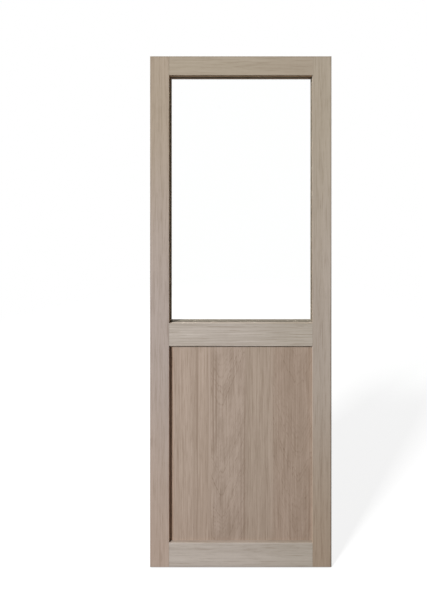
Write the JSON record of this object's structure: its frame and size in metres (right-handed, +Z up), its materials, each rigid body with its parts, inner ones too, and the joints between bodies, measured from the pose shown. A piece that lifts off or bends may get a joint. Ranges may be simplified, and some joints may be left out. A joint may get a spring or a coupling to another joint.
{
  "type": "sliding glazed door leaf",
  "caption": "Tall wooden sliding door leaf with a clear glazed upper light, a recessed lower panel, a guide groove in its top edge and adjustable rollers in its bottom edge.",
  "frame": {"origin": "on the floor line below the middle of the leaf, at half its thickness", "axes": "+X to the right seen from the front, -Y the front face, +Z up"},
  "size_m": [0.725, 0.04, 2.044],
  "materials": {
    "oak_frame": "raw sanded oak, straight grain",
    "oak_panel": "raw sanded oak veneer, crown-cut grain",
    "oak_bead": "raw sanded oak",
    "beech_dowel": "fluted beech",
    "clear_glass": "clear float, toughened",
    "glazing_tape": "brown closed-cell foam",
    "setting_block": "hard plastic",
    "pin_steel": "bright drawn wire",
    "case_steel": "zinc-plated sheet",
    "wheel_nylon": "moulded nylon",
    "brass": "turned and milled",
    "screw_steel": "zinc plated"
  },
  "bodies": {
    "leaf": {"stile_left": "oak_frame", "stile_right": "oak_frame", "top_rail": "oak_frame", "middle_rail": "oak_frame", "bottom_rail": "oak_frame", "lower_panel": "oak_panel", "frame_dowels": "beech_dowel", "glass_pane": "clear_glass", "bead_top": "oak_bead", "bead_bottom": "oak_bead", "bead_left": "oak_bead", "bead_right": "oak_bead", "front_tape_top": "glazing_tape", "front_tape_bottom": "glazing_tape", "front_tape_left": "glazing_tape", "front_tape_right": "glazing_tape", "back_tape_top": "glazing_tape", "back_tape_bottom": "glazing_tape", "back_tape_left": "glazing_tape", "back_tape_right": "glazing_tape", "setting_blocks": "setting_block", "bead_pins": "pin_steel", "roller_case_left": "case_steel", "roller_case_right": "case_steel", "case_screws": "screw_steel"},
    "carriage_left": {"roller_carriage_left": "case_steel", "roller_axle_left": "screw_steel"},
    "wheel_left": {"roller_wheel_left": "wheel_nylon", "wheel_bush_left": "brass"},
    "wedge_left": {"height_wedge_left": "brass"},
    "screw_left": {"height_screw_left": "screw_steel", "screw_clip_left": "screw_steel"},
    "carriage_right": {"roller_carriage_right": "case_steel", "roller_axle_right": "screw_steel"},
    "wheel_right": {"roller_wheel_right": "wheel_nylon", "wheel_bush_right": "brass"},
    "wedge_right": {"height_wedge_right": "brass"},
    "screw_right": {"height_screw_right": "screw_steel", "screw_clip_right": "screw_steel"}
  },
  "joints": [
    {"name": "height_screw_turn_left", "type": "hinge", "parent": "leaf", "child": "screw_left", "pos_m": [-0.2405, 0, 0.037], "axis": [1, 0, 0], "range_deg": [-2701, 2701]},
    {"name": "wedge_slide_left", "type": "slide", "parent": "leaf", "child": "wedge_left", "axis": [-1, 0, 0], "range_m": [-0.0075, 0.0075]},
    {"name": "wheel_height_left", "type": "slide", "parent": "leaf", "child": "carriage_left", "axis": [0, 0, -1], "range_m": [-0.0015, 0.0015]},
    {"name": "wheel_spin_left", "type": "hinge", "parent": "carriage_left", "child": "wheel_left", "pos_m": [-0.2405, 0, 0.012], "axis": [0, 1, 0], "continuous": true},
    {"name": "height_screw_turn_right", "type": "hinge", "parent": "leaf", "child": "screw_right", "pos_m": [0.2405, 0, 0.037], "axis": [-1, 0, 0], "range_deg": [-2701, 2701]},
    {"name": "wedge_slide_right", "type": "slide", "parent": "leaf", "child": "wedge_right", "axis": [1, 0, 0], "range_m": [-0.0075, 0.0075]},
    {"name": "wheel_height_right", "type": "slide", "parent": "leaf", "child": "carriage_right", "axis": [0, 0, -1], "range_m": [-0.0015, 0.0015]},
    {"name": "wheel_spin_right", "type": "hinge", "parent": "carriage_right", "child": "wheel_right", "pos_m": [0.2405, 0, 0.012], "axis": [0, 1, 0], "continuous": true}
  ],
  "couplings": [
    {"joint": "height_screw_turn_left", "follows": "wedge_slide_left", "rad_per_m": 6283.2},
    {"joint": "wheel_height_left", "follows": "wedge_slide_left", "ratio": 0.2},
    {"joint": "height_screw_turn_right", "follows": "wedge_slide_right", "rad_per_m": 6283.2},
    {"joint": "wheel_height_right", "follows": "wedge_slide_right", "ratio": 0.2}
  ]
}
